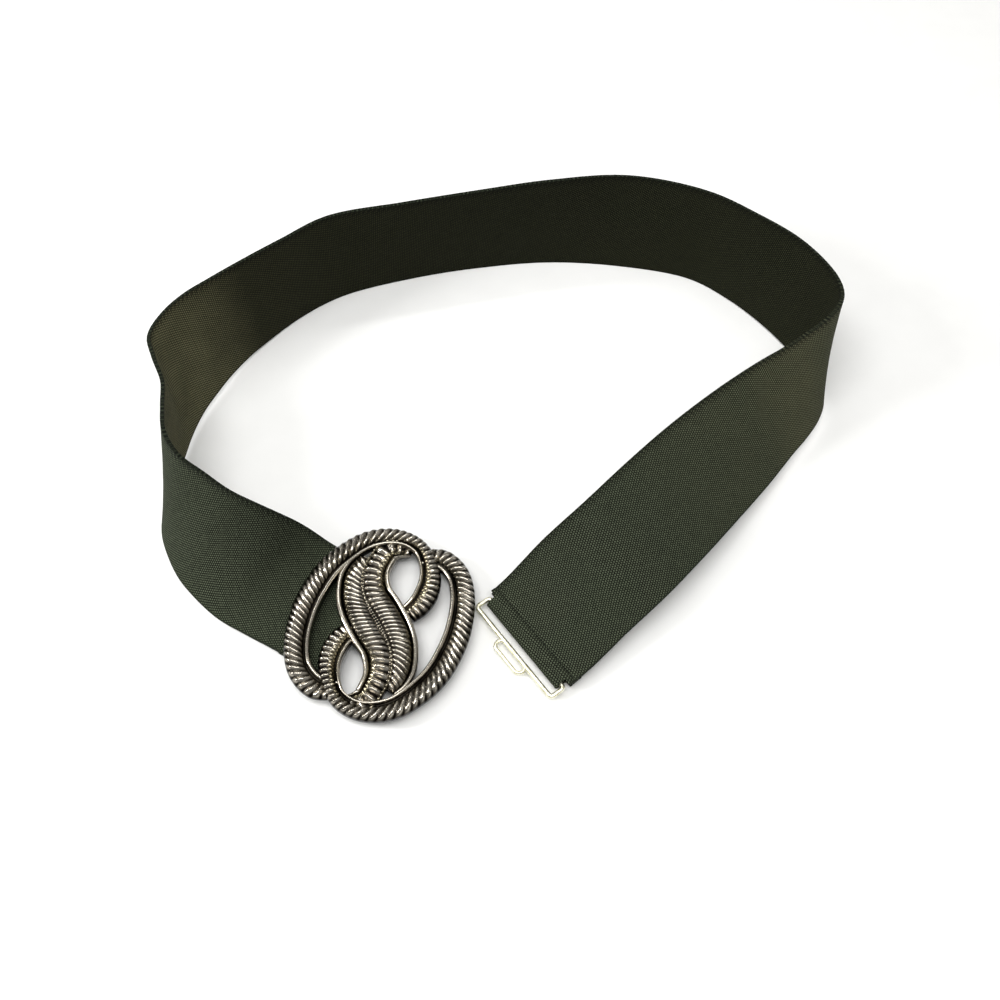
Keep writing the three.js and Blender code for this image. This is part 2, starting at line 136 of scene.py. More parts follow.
# The casting's strips: x, y, width, crest, slant of the ribs, rib pitch, share of grains
RING_ROWS = np.array([
    (0.4, 34.6, 7, 2.8, 0.1, 2.4, 0),
    (8.6, 37.2, 9.4, 4.2, 0.3, 2.4, 0),
    (17.3, 34.1, 9.8, 4.8, 0.5, 2.4, 0),
    (24.2, 25.5, 10.2, 4.8, 0.6, 2.4, 0),
    (29, 12.7, 10.6, 4.8, 0.6, 2.4, 0),
    (30.5, 2.1, 10.6, 4.8, 0.7, 2.5, 0),
    (30.2, -8, 10.2, 4.8, 0.8, 2.8, 0),
    (27.5, -17.3, 9.6, 4.8, 0.9, 3.1, 0),
    (22.5, -26.6, 8.6, 4.8, 1, 3.3, 0),
    (15.6, -32.3, 7.8, 4.8, 0.9, 3.1, 0),
    (8.2, -34.5, 7, 4.8, 0.6, 2.6, 0.2),
    (1.1, -33.3, 6.9, 4.8, 0.2, 2.2, 0.7),
    (-4.7, -28.6, 7.8, 4.8, 0, 2.1, 1),
    (-8.6, -22.9, 9.2, 4.7, 0, 2.1, 1),
    (-10.1, -17.1, 9.8, 4.6, 0, 2.2, 1),
    (-9.9, -11.5, 9.4, 4.2, 0, 2.3, 1),
    (-7.9, -6.1, 8, 3, 0, 2.3, 1),
], dtype=float)
LOBE_ROWS = np.array([
    (-4.4, 34.2, 3, 1.2, 0, 3.2, 0),
    (-9.8, 32.4, 8.4, 3.2, 0, 3.2, 0.6),
    (-12.6, 30, 10.4, 3.8, 0, 3.2, 1),
    (-13.1, 24.4, 10.8, 4.6, 0, 3.1, 1),
    (-12.4, 19.4, 11.4, 5, -0.1, 3, 1),
    (-10.1, 14.8, 12, 5.4, -0.2, 2.8, 0.8),
    (-6.7, 11, 12.4, 5.6, -0.4, 2.4, 0.5),
    (-1.5, 7.9, 12.8, 5.8, -0.4, 2, 0.3),
    (3.1, 5.1, 12.8, 5.8, -0.4, 1.8, 0.3),
    (7.9, 1.7, 12.8, 5.8, -0.4, 1.9, 0.3),
    (12.3, -2.4, 12.4, 5.6, -0.5, 2.1, 0.4),
    (15.7, -7.3, 11.6, 5.2, -0.6, 2.3, 0.5),
    (17.8, -12.3, 11, 4.8, -0.6, 2.4, 0.4),
    (18.4, -17.2, 9, 4.4, -0.5, 2.4, 0.2),
    (18, -22, 5.4, 4, -0.3, 2.4, 0.1),
], dtype=float)

# A strip's cross-section from its ribbed side to its smooth rim:
# share of the width, share of the crest, ribs, fine beads, grains, gold tint
RIM = [
    (0.8, 0.48, 0, 0, 0, 0.2),
    (0.812, 0.6, 0, 0, 0, 0.4),
    (0.835, 0.73, 0, 0, 0, 0.6),
    (0.875, 0.81, 0, 0, 0, 0.7),
    (0.925, 0.82, 0, 0, 0, 0.7),
    (0.965, 0.76, 0, 0, 0, 0.5),
    (0.99, 0.6, 0, 0, 0, 0.2),
    (1, 0.42, 0, 0, 0, 0),
    (1, 0, 0, 0, 0, 0),
]
RING_PROFILE = np.array([
    (0, 0, 0, 0, 0, 0),
    (0, 0.3, 0, 0, 0, 0),
    (0.01, 0.48, 0.4, 0, 0, 0),
    (0.04, 0.66, 0.9, 0, 0, 0),
    (0.09, 0.81, 1, 0, 0, 0),
    (0.15, 0.91, 1, 0, 0, 0),
    (0.22, 0.97, 1, 0, 0, 0),
    (0.3, 1, 1, 0, 0, 0),
    (0.38, 1, 1, 0, 0.1, 0),
    (0.46, 0.97, 1, 0, 0.7, 0.2),
    (0.53, 0.93, 1, 0, 1, 0.7),
    (0.59, 0.87, 1, 0, 1, 1),
    (0.64, 0.79, 0.9, 0, 1, 1),
    (0.685, 0.69, 0.5, 0, 1, 1),
    (0.71, 0.58, 0.1, 0, 0.8, 0.6),
    (0.73, 0.5, 0, 0, 0.4, 0.4),
    (0.75, 0.45, 0, 0, 0, 0),
    (0.78, 0.45, 0, 0, 0, 0),
    *RIM,
], dtype=float)
LOBE_PROFILE = np.array([
    (0, 0, 0, 0, 0, 0),
    (0, 0.56, 0, 0.4, 0, 0.2),
    (0.02, 0.66, 0, 1, 0, 0.4),
    (0.05, 0.72, 0, 1, 0, 0.4),
    (0.08, 0.68, 0, 1, 0, 0.4),
    (0.1, 0.64, 0, 0.3, 0, 0.3),
    (0.12, 0.76, 0.8, 0, 0, 0),
    (0.16, 0.85, 1, 0, 0, 0),
    (0.22, 0.93, 1, 0, 0, 0),
    (0.3, 0.98, 1, 0, 0, 0),
    (0.38, 1, 1, 0, 0, 0),
    (0.46, 1, 1, 0, 0, 0),
    (0.54, 0.96, 1, 0, 0.2, 0.2),
    (0.6, 0.91, 1, 0, 0.8, 0.6),
    (0.66, 0.84, 0.9, 0, 1, 1),
    (0.71, 0.76, 0.6, 0, 1, 1),
    (0.745, 0.67, 0.2, 0, 1, 1),
    (0.775, 0.56, 0, 0, 0.6, 0.7),
    *RIM,
], dtype=float)

# The clasp's wire loop, and the eye on its outer bar
CLASP = {"wire": 1.0, "room": 2.6, "corner": 1.4, "tilt": 8.0}
EYE = {"wire": 0.8, "length": 17.5, "reach": 4.6, "offset": -1.0}

# The lights' places and sizes in metres, and their power in watts
LIGHTS = {
    "overhead_softbox": ((-0.1, -0.25, 1.15), (1.1, 0.35), 10.5),
    "left_strip": ((-0.9, -0.1, 0.55), (0.08, 0.5), 6.0),
    "right_lamp": ((0.75, -0.35, 0.7), (0.3, 0.3), 0.4),
    "back_strip": ((-0.1, 0.5, 0.95), (0.9, 0.08), 2.0),
}
# The camera's place in millimetres, 475 from the belt's middle, and its tilt in degrees from straight down
CAMERA = {"place": (0.0, -237.5, 411.4), "tilt": 30.0}


def linear(code):
    """An sRGB colour code as linear light."""
    parts = [int(code[i:i + 2], 16) / 255 for i in (1, 3, 5)]
    return tuple(p / 12.92 if p <= 0.04045 else ((p + 0.055) / 1.055) ** 2.4 for p in parts) + (1.0,)


def unit(rows):
    return rows / np.linalg.norm(rows, axis=-1, keepdims=True)


def curve_at(points, at):
    """A smooth curve through the points, at fractional point numbers."""
    ends = np.vstack([2 * points[0] - points[1], points, 2 * points[-1] - points[-2]])
    at = np.clip(at, 0, len(points) - 1)
    i = np.minimum(at.astype(int), len(points) - 2)
    t = (at - i)[:, None]
    p0, p1, p2, p3 = (ends[i + k] for k in range(4))
    d0, d1, d2 = (np.sqrt(np.linalg.norm(b - a, axis=1))[:, None] for a, b in ((p0, p1), (p1, p2), (p2, p3)))
    m1 = d1 * ((p1 - p0) / d0 - (p2 - p0) / (d0 + d1) + (p2 - p1) / d1)
    m2 = d1 * ((p2 - p1) / d1 - (p3 - p1) / (d1 + d2) + (p3 - p2) / d2)
    return p1 + t * m1 + t**2 * (-3 * p1 + 3 * p2 - 2 * m1 - m2) + t**3 * (2 * p1 - 2 * p2 + m1 + m2)


def band_middle(along):
    """Middle and across of the band at lengths from its hem."""
    low = BAND_ROWS[:, 1:4]
    high = low + WIDTH * unit(BAND_ROWS[:, 4:7])
    at = np.interp(along, BAND_ROWS[:, 0], np.arange(len(BAND_ROWS)))
    lower, upper = curve_at(low, at), curve_at(high, at)
    return (lower + upper) / 2, unit(upper - lower)


def band_frame(along):
    """Middle, forward, across and out of the band at lengths from its hem."""
    along = np.atleast_1d(np.asarray(along, dtype=float))
    middle, across = band_middle(along)
    forward = band_middle(np.minimum(along + 1, LENGTH))[0] - band_middle(np.maximum(along - 1, 0))[0]
    forward = unit(forward - across * np.sum(forward * across, axis=1)[:, None])
    return middle + PLACE, forward, across, np.cross(forward, across)


def fold_steps(fold):
    """(distance from the tip, depth) of a fold's middle layer, from its stitched end round the bar."""
    centre = fold["bar"] + GAP + THICKNESS
    radius = centre - THICKNESS / 2
    flat = [(d, -THICKNESS) for d in np.linspace(fold["end"], fold["stitch_at"], 4)]
    share = np.linspace(0, 1, 7)[1:]
    slope = [(fold["stitch_at"] + s * (centre - fold["stitch_at"]),
              -THICKNESS - (2 * radius - THICKNESS) * (0.5 - 0.5 * math.cos(math.pi * s))) for s in share]
    turn = [(centre - radius * math.cos(a), -radius + radius * math.sin(a))
            for a in np.linspace(-math.pi / 2, math.pi / 2, 15)[1:]]
    return flat + slope + turn


def bar_place(fold, along):
    """The place of a bar in its fold, in metres: x along the band, y across it, z out."""
    middle, forward, across, out = (v[0] for v in band_frame(along))
    place = Matrix((forward, across, out)).transposed().to_4x4()
    place.translation = Vector(middle - out * (fold["bar"] + GAP + THICKNESS / 2)) * MM
    return place


def deselect():
    if bpy.context.mode != "OBJECT":
        bpy.ops.object.mode_set(mode="OBJECT")
    for obj in bpy.context.selected_objects:
        obj.select_set(False)


def pick(obj):
    deselect()
    obj.select_set(True)
    bpy.context.view_layer.objects.active = obj


def settle(obj, place=None):
    """Moves the object's place into its mesh."""
    obj.data.transform((place or Matrix.Identity(4)) @ obj.matrix_basis)
    obj.matrix_basis = Matrix.Identity(4)


def apply_modifiers(obj):
    pick(obj)
    for modifier in list(obj.modifiers):
        bpy.ops.object.modifier_apply(modifier=modifier.name)


def copied(obj, place):
    twin = obj.copy()
    twin.data = obj.data.copy()
    bpy.context.scene.collection.objects.link(twin)
    twin.data.transform(place)
    return twin


def joined(parts, name):
    deselect()
    for obj in parts:
        obj.select_set(True)
    bpy.context.view_layer.objects.active = parts[0]
    bpy.ops.object.join()
    parts[0].name = name
    parts[0].data.name = name
    return parts[0]


def smooth(obj, angle):
    pick(obj)
    bpy.ops.object.shade_smooth_by_angle(angle=math.radians(angle))


def finish(obj, material, body):
    """One material and a body to ride on."""
    obj.data.materials.clear()
    obj.data.materials.append(material)
    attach(obj, body)


def grid_spots(obj, columns, rows):
    """The column and row of each point of a new grid."""
    spots = np.empty(len(obj.data.vertices) * 3)
    obj.data.vertices.foreach_get("co", spots)
    spots = spots.reshape(-1, 3)
    column = np.rint((spots[:, 0] + 1) / 2 * columns).astype(int)
    return column, np.rint((spots[:, 1] + 1) / 2 * rows).astype(int)


def add(tree, kind, values=None, links=None, stops=None, **settings):
    """A node with its settings, input values, links and (place, colour) stops, the outer two first."""
    node = tree.nodes.new(kind)
    for key, value in settings.items():
        setattr(node, key, value)
    for key, value in (values or {}).items():
        node.inputs[key].default_value = value
    for key, socket in (links or {}).items():
        tree.links.new(socket, node.inputs[key])
    for number, (place, tone) in enumerate(stops or []):
        element = node.color_ramp.elements[number] if number < 2 else node.color_ramp.elements.new(place)
        element.position = place
        element.color = tone
    return node


def shaded(name, values):
    """A new material with its shader's plain values."""
    material = bpy.data.materials.new(name)
    material.use_nodes = True
    shader = material.node_tree.nodes["Principled BSDF"]
    for key, value in values.items():
        shader.inputs[key].default_value = value
    return material, material.node_tree, shader


def woven_elastic(name, colours, bend_light_at):
    """Elastic woven from matt polyester over rubber cords: slanting rows of short threads, their colour
    lifted by painted highlight, with painted shade in the gaps between them, painted light on the bends,
    lighter and warmer, and a plain bound edge."""
    thread, base, gap, bend_light = (tuple(colour) for colour in colours)
    material, tree, shader = shaded(name, {"Roughness": 0.9, "Specular IOR Level": 0.08})
    uv = add(tree, "ShaderNodeUVMap", uv_map="UVMap").outputs[0]
    flat = add(tree, "ShaderNodeSeparateXYZ", links={0: uv})
    # rows and threads about 1 mm, a little coarser than the real ones, so that they show
    turn = add(tree, "ShaderNodeMapping", {"Rotation": (0, 0, math.radians(-32))}, {"Vector": uv})
    weave = add(tree, "ShaderNodeTexBrick", {
        "Scale": 1.0, "Mortar Size": 0.25, "Mortar Smooth": 0.8, "Bias": 0.0,
        "Brick Width": 0.95, "Row Height": 0.98,
        "Color1": (1, 1, 1, 1), "Color2": (0.7, 0.7, 0.7, 1), "Mortar": (0, 0, 0, 1),
    }, {"Vector": turn.outputs[0]}, offset=0.5)
    share = add(tree, "ShaderNodeMath", {1: LENGTH}, {0: flat.outputs[0]}, operation="DIVIDE")
    # painted light: the cloth is painted lighter and warmer along its bends, in uneven patches
    bends = add(tree, "ShaderNodeValToRGB", links={0: share.outputs[0]},
                stops=[(place, (much, much, much, 1)) for place, much in bend_light_at])
    cloud = add(tree, "ShaderNodeTexNoise", {"Scale": 0.05, "Detail": 3.0}, {"Vector": uv})
    patch = add(tree, "ShaderNodeMapRange", {1: 0.35, 2: 0.65, 3: 0.75, 4: 1.0}, {0: cloud.outputs[0]})
    bend_light_share = add(tree, "ShaderNodeMath", links={0: bends.outputs[0], 1: patch.outputs[0]},
                 operation="MULTIPLY")
    # painted highlight: the threads take their lit colour
    lit = add(tree, "ShaderNodeMix", {6: base, 7: thread}, {0: weave.outputs[0]}, data_type="RGBA")
    bend_lit = add(tree, "ShaderNodeMix", {7: bend_light}, {0: bend_light_share.outputs[0], 6: lit.outputs[2]},
                 data_type="RGBA")
    # painted shade in the gaps between the threads
    dark = add(tree, "ShaderNodeMix", {7: gap}, {0: weave.outputs[1], 6: bend_lit.outputs[2]},
               data_type="RGBA")
    side = add(tree, "ShaderNodeMath", links={0: flat.outputs[1]}, operation="ABSOLUTE")
    edge = add(tree, "ShaderNodeMapRange", {1: BINDING, 2: BINDING + 0.3, 4: 0.7}, {0: side.outputs[0]})
    bound = add(tree, "ShaderNodeMix", {7: base}, {0: edge.outputs[0], 6: dark.outputs[2]}, data_type="RGBA")
    # the upper edge's slanting dark marks, 1.9 mm apart
    slants = add(tree, "ShaderNodeTexWave", {"Scale": 0.165, "Distortion": 0.0},
                 {"Vector": turn.outputs[0]}, bands_direction="X")
    upper = add(tree, "ShaderNodeMapRange", {1: 21.5, 2: 23.5, 4: 0.6}, {0: flat.outputs[1]})
    mark = add(tree, "ShaderNodeMath", links={0: slants.outputs[1], 1: upper.outputs[0]},
               operation="MULTIPLY")
    marked = add(tree, "ShaderNodeMix", {7: gap}, {0: mark.outputs[0], 6: bound.outputs[2]},
                 data_type="RGBA")
    tree.links.new(marked.outputs[2], shader.inputs["Base Color"])
    height = add(tree, "ShaderNodeMath", {0: 1.0}, {1: weave.outputs[1]}, operation="SUBTRACT")
    bump = add(tree, "ShaderNodeBump", {"Strength": 0.6, "Distance": 0.3 * MM},
               {"Height": height.outputs[0]})
    tree.links.new(bump.outputs[0], shader.inputs["Normal"])
    return material


def sewing_thread(colours):
    """Spun polyester thread: dark green, matt and a little uneven, like loose fibres."""
    shade, lit = (tuple(colour) for colour in colours)
    material, tree, shader = shaded("spun_polyester_thread", {"Roughness": 0.85, "Specular IOR Level": 0.1})
    place = add(tree, "ShaderNodeTexCoord")
    fuzz = add(tree, "ShaderNodeTexNoise", {"Scale": 2500.0}, {"Vector": place.outputs["Object"]})
    tone = add(tree, "ShaderNodeMix", {6: shade, 7: lit}, {0: fuzz.outputs[0]}, data_type="RGBA")
    tree.links.new(tone.outputs[2], shader.inputs["Base Color"])
    return material


def antiqued_plate(colours):
    """Zinc alloy casting in antiqued silver plate: blackened grooves under polished, slightly worn crests,
    with brass showing on the grains and the rims."""
    dark, middle, bright, brass = (tuple(colour) for colour in colours)
    material, tree, shader = shaded("antiqued_silver_plate", {"Metallic": 1.0})
    place = add(tree, "ShaderNodeTexCoord")
    relief = add(tree, "ShaderNodeAttribute", attribute_name="relief")
    tint = add(tree, "ShaderNodeAttribute", attribute_name="tint")
    grain = add(tree, "ShaderNodeTexNoise", {"Scale": 450.0, "Detail": 4.0},
                {"Vector": place.outputs["Object"]})
    cloud = add(tree, "ShaderNodeTexNoise", {"Scale": 120.0}, {"Vector": place.outputs["Object"]})
    worn = add(tree, "ShaderNodeMapRange", {1: 0.3, 2: 0.7, 3: -0.15, 4: 0.15}, {0: cloud.outputs[0]})
    level = add(tree, "ShaderNodeMath", links={0: relief.outputs["Fac"], 1: worn.outputs[0]},
                operation="ADD")
    plate = add(tree, "ShaderNodeValToRGB", links={0: level.outputs[0]},
                stops=[(0.1, dark), (0.9, bright), (0.45, middle)])
    gilt = add(tree, "ShaderNodeMix", {7: brass}, {0: tint.outputs["Fac"], 6: plate.outputs[0]},
               data_type="RGBA")
    blend = add(tree, "ShaderNodeMix", {0: 0.5}, {6: plate.outputs[0], 7: gilt.outputs[2]}, data_type="RGBA")
    tree.links.new(blend.outputs[2], shader.inputs["Base Color"])
    rough = add(tree, "ShaderNodeMapRange", {3: 0.16, 4: 0.24}, {0: grain.outputs[0]})
    tree.links.new(rough.outputs[0], shader.inputs["Roughness"])
    bump = add(tree, "ShaderNodeBump", {"Strength": 0.04, "Distance": 0.05 * MM},
               {"Height": grain.outputs[0]})
    tree.links.new(bump.outputs[0], shader.inputs["Normal"])
    return material


def plated_wire(colours):
    """Steel wire with a thin pale gold plating, drawn smooth and a little dulled. Its colours are painted
    near white, adding painted highlight to the plating's own pale gold.
    """
    dull, plate, polished = (tuple(colour) for colour in colours)
    material, tree, shader = shaded("pale_plated_wire_painted_highlight", {"Metallic": 1.0})
    place = add(tree, "ShaderNodeTexCoord")
    grain = add(tree, "ShaderNodeTexNoise", {"Scale": 500.0, "Detail": 3.0},
                {"Vector": place.outputs["Object"]})
    tone = add(tree, "ShaderNodeValToRGB", links={0: grain.outputs[0]},
               stops=[(0.3, dull), (0.65, polished), (0.45, plate)])
    tree.links.new(tone.outputs[0], shader.inputs["Base Color"])
    rough = add(tree, "ShaderNodeMapRange", {3: 0.25, 4: 0.5}, {0: grain.outputs[0]})
    tree.links.new(rough.outputs[0], shader.inputs["Roughness"])
    return material


def white_paper(colours):
    """Matt white paper, with a grain too faint to draw the eye."""
    pulp, sheet = (tuple(colour) for colour in colours)
    material, tree, shader = shaded("matt_white_paper", {"Roughness": 0.95, "Specular IOR Level": 0.1})
    place = add(tree, "ShaderNodeTexCoord")
    grain = add(tree, "ShaderNodeTexNoise", {"Scale": 60.0}, {"Vector": place.outputs["Object"]})
    tone = add(tree, "ShaderNodeMix", {6: pulp, 7: sheet}, {0: grain.outputs[0]}, data_type="RGBA")
    tree.links.new(tone.outputs[2], shader.inputs["Base Color"])
    return material


def colour(name, description, code):
    """A colour that a user may change."""
    return bpy.props.FloatVectorProperty(
        name=name, description=description, default=linear(code), subtype="COLOR", size=4, min=0, max=1)


class BandSettings(bpy.types.PropertyGroup):
    step: bpy.props.FloatProperty(
        name="Step", description="Length between rows of points", default=2.5 * MM, unit="LENGTH")
    fine_step: bpy.props.FloatProperty(
        name="Fine step", description="Length between rows beside the stitches",
        default=0.6 * MM, unit="LENGTH")
    lanes: bpy.props.IntProperty(name="Lanes", description="Faces across the band's middle", default=16)
    round: bpy.props.FloatProperty(
        name="Round", description="Rounding of the band's edges", default=0.5 * MM, unit="LENGTH")
    crease: bpy.props.FloatProperty(
        name="Crease", description="How deep the stitches pull the band in", default=0.6 * MM, unit="LENGTH")
    puff: bpy.props.FloatProperty(
        name="Puff", description="How far the hem stands up beside its stitches",
        default=0.45 * MM, unit="LENGTH")
    # the lit thread colours carry painted highlight, and the gap colour is painted shade
    thread: colour("Thread", "Lit threads of the outside", "#535a48")
    outside: colour("Outside", "Threads of the outside", "#1d2119")
    inside_thread: colour("Inside thread", "Lit threads of the inside", "#2f3120")
    inside: colour("Inside", "Threads of the inside", "#12130a")
    gap: colour("Gap", "Shade between the threads", "#060805")
    # painted light on the band's bends
    bend_light: colour("Warm", "Threads where the band bends", "#777558")


class StitchSettings(bpy.types.PropertyGroup):
    pitch: bpy.props.FloatProperty(
        name="Pitch", description="Length between stitches", default=2.4 * MM, unit="LENGTH")
    length: bpy.props.FloatProperty(
        name="Length", description="Length of a stitch", default=2.1 * MM, unit="LENGTH")
    radius: bpy.props.FloatProperty(
        name="Radius", description="Thread radius", default=0.22 * MM, unit="LENGTH")
    shade: colour("Shade", "Shaded fibres of the sewing thread", "#070907")
    lit: colour("Lit", "Lit fibres of the sewing thread", "#141913")


class BuckleSettings(bpy.types.PropertyGroup):
    step: bpy.props.FloatProperty(
        name="Step", description="Length between the strips' sections", default=0.16 * MM, unit="LENGTH")
    rib_depth: bpy.props.FloatProperty(
        name="Rib depth", description="Depth of the grooves as a share of the ribs' pitch", default=0.4)
    bead_pitch: bpy.props.FloatProperty(
        name="Bead pitch", description="Length from bead to bead", default=1.3 * MM, unit="LENGTH")
    grain_pitch: bpy.props.FloatProperty(
        name="Grain pitch", description="Length from grain to grain", default=1.6 * MM, unit="LENGTH")
    bead_height: bpy.props.FloatProperty(
        name="Bead height", description="Height of the fine beads", default=0.5 * MM, unit="LENGTH")
    grain_height: bpy.props.FloatProperty(
        name="Grain height", description="Height of the grains over their bed",
        default=1.1 * MM, unit="LENGTH")
    grain_bed: bpy.props.FloatProperty(
        name="Grain bed", description="How deep the grains are set in", default=0.5 * MM, unit="LENGTH")
    edge_round: bpy.props.FloatProperty(
        name="Edge round", description="Rounding of the plain back parts", default=0.25 * MM, unit="LENGTH")
    dark: colour("Dark", "Blackened grooves", "#0f0c0a")
    middle: colour("Middle", "Worn slopes", "#403c34")
    bright: colour("Bright", "Polished crests", "#b1aba0")
    brass: colour("Brass", "Brass under the plate", "#c6ba98")


class ClaspSettings(bpy.types.PropertyGroup):
    bend_steps: bpy.props.IntProperty(name="Bend steps", description="Steps round each corner", default=7)
    # the plating's near-white colours carry painted highlight as well as its pale gold
    dull: colour("Dull", "Dulled patches of the plating", "#c3bd96")
    plate: colour("Plate", "Pale gold plating", "#f1edd0")
    polished: colour("Polished", "Polished patches of the plating", "#fbf9e6")


class StageSettings(bpy.types.PropertyGroup):
    floor: bpy.props.FloatProperty(name="Floor", description="Floor size", default=6.0, unit="LENGTH")
    lens: bpy.props.FloatProperty(
        name="Lens", description="Camera's focal length in millimetres", default=39.6)
    sky: bpy.props.FloatProperty(name="Sky", description="Brightness of the room", default=0.34)
    pulp: colour("Pulp", "Darker grain of the floor's paper", "#f2f2f0")
    paper: colour("Paper", "Floor's paper", "#f8f8f6")


class BELT_OT_band(bpy.types.Operator):
    """Builds the woven band, folded round both bars"""

    bl_idname = "belt.band"
    bl_label = "Build band"

    def stations(self, settings):
        """(along, depth) of every row of points, from the hem's raw end to the buckle fold's."""
        hem, fold = fold_steps(HEM), fold_steps(FOLD)
        start = HEM["bar"] + GAP + THICKNESS
        stop = LENGTH - FOLD["bar"] - GAP - THICKNESS
        fine, step = settings.fine_step / MM, settings.step / MM
        near, far = start + HEM["fine"], stop - FOLD["fine"]
        runs = [np.arange(start, near, fine), np.linspace(near, far, round((far - near) / step)),
                np.arange(far + fine, stop, fine)]
        along = np.concatenate(runs)[1:]
        depth = np.zeros(len(along))
        for line in (HEM["stitch_at"], LENGTH - FOLD["stitch_at"]):
            depth -= settings.crease / MM * np.exp(-((along - line) / CREASE_SPREAD) ** 2)
        depth += settings.puff / MM * np.exp(-((along - PUFF["at"]) / PUFF["spread"]) ** 2)
        rows = np.array(hem + list(zip(along, depth)) + [(LENGTH - d, deep) for d, deep in reversed(fold)])
        return rows.T

    def execute(self, context):
        settings = context.scene.belt_band
        along, depth = self.stations(settings)
        path = np.r_[0, np.cumsum(np.hypot(np.diff(along), np.diff(depth)))]
        notch = NOTCH["side"]
        middle_lanes = np.linspace(-notch, notch, settings.lanes + 1)
        lanes = np.r_[-WIDTH / 2, -BINDING, middle_lanes, BINDING, WIDTH / 2]
        deselect()
        columns, rows = len(along) - 1, len(lanes) - 1
        bpy.ops.mesh.primitive_grid_add(x_subdivisions=columns, y_subdivisions=rows, size=2, calc_uvs=True)
        band = context.active_object
        band.name = "woven_band"
        mesh = band.data
        column, row = grid_spots(band, columns, rows)
        middle, _, across, out = band_frame(along[column])
        points = middle + out * depth[column][:, None] + across * lanes[row][:, None]
        mesh.vertices.foreach_set("co", (points * MM).ravel())
        corners = np.empty(len(mesh.loops), dtype=int)
        mesh.loops.foreach_get("vertex_index", corners)
        flat = np.column_stack([path[column], lanes[row]])[corners]
        mesh.uv_layers[0].name = "UVMap"
        mesh.uv_layers[0].data.foreach_set("uv", flat.ravel())
        mesh.update()
        # the hem's corners are cut away for the clasp's arms, past the far side of the bar's hole
        cut = 2 * (HEM["bar"] + GAP) + THICKNESS + NOTCH["past"]
        bpy.ops.object.mode_set(mode="EDIT")
        bpy.ops.mesh.select_mode(type="FACE")
        bpy.ops.mesh.select_all(action="DESELECT")
        bpy.ops.object.mode_set(mode="OBJECT")
        for face in mesh.polygons:
            spots = list(face.vertices)
            outside = min(abs(lanes[row[spots]])) >= notch
            face.select = bool(outside and min(along[column[spots]]) < cut)
        bpy.ops.object.mode_set(mode="EDIT")
        bpy.ops.mesh.delete(type="FACE")
        bpy.ops.object.mode_set(mode="OBJECT")
        # for each face, where along the band its bend gets painted light, and how much
        mesh.materials.append(woven_elastic(
            "woven_elastic_outside", (settings.thread, settings.outside, settings.gap, settings.bend_light),
            [(0.12, 0), (1, 0), (0.21, 0.2), (0.26, 0.6), (0.32, 0.15), (0.4, 0)]))
        mesh.materials.append(woven_elastic(
            "woven_elastic_inside", (settings.inside_thread, settings.inside, settings.gap, settings.bend_light),
            [(0.58, 0), (1, 0), (0.66, 0.03), (0.73, 0.12), (0.77, 0.85), (0.83, 1), (0.9, 0.3)]))
        shell = band.modifiers.new("thickness", "SOLIDIFY")
        shell.thickness = THICKNESS * MM
        shell.offset = 0
        shell.material_offset = 1
        edge = band.modifiers.new("edges", "BEVEL")
        edge.width = settings.round
        edge.segments = 2
        edge.angle_limit = math.radians(60)
        apply_modifiers(band)
        smooth(band, 50)
        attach(band, "belt")
        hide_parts("elastic_band")
        return {"FINISHED"}


class BELT_OT_stitches(bpy.types.Operator):
    """Sews the two folds down with a row of stitches on each face"""

    bl_idname = "belt.stitches"
    bl_label = "Build stitches"

    def execute(self, context):
        settings = context.scene.belt_stitches
        deselect()
        bpy.ops.mesh.primitive_uv_sphere_add(segments=8, ring_count=6, radius=settings.radius)
        stitch = context.active_object
        stitch.scale.y = settings.length / 2 / settings.radius
        settle(stitch)
        count = int((WIDTH * MM - settings.length) / settings.pitch)
        sides = (np.arange(count + 1) - count / 2) * settings.pitch / MM
        # the stitches stand a little proud of the creased outside and of the turned-under end
        outside = THICKNESS / 2 - context.scene.belt_band.crease / MM + 0.1
        underside = -1.5 * THICKNESS - 0.05
        copies = []
        for along in (HEM["stitch_at"], LENGTH - FOLD["stitch_at"]):
            middle, forward, across, out = (v[0] for v in band_frame(along))
            for depth in (outside, underside):
                for side in sides:
                    place = Matrix((forward, across, out)).transposed().to_4x4()
                    place.translation = Vector(middle + out * depth + across * side) * MM
                    copies.append(copied(stitch, place))
        bpy.data.objects.remove(stitch)
        stitches = joined(copies, "hem_stitches")
        smooth(stitches, 80)
        finish(stitches, sewing_thread((settings.shade, settings.lit)), "belt")
        return {"FINISHED"}


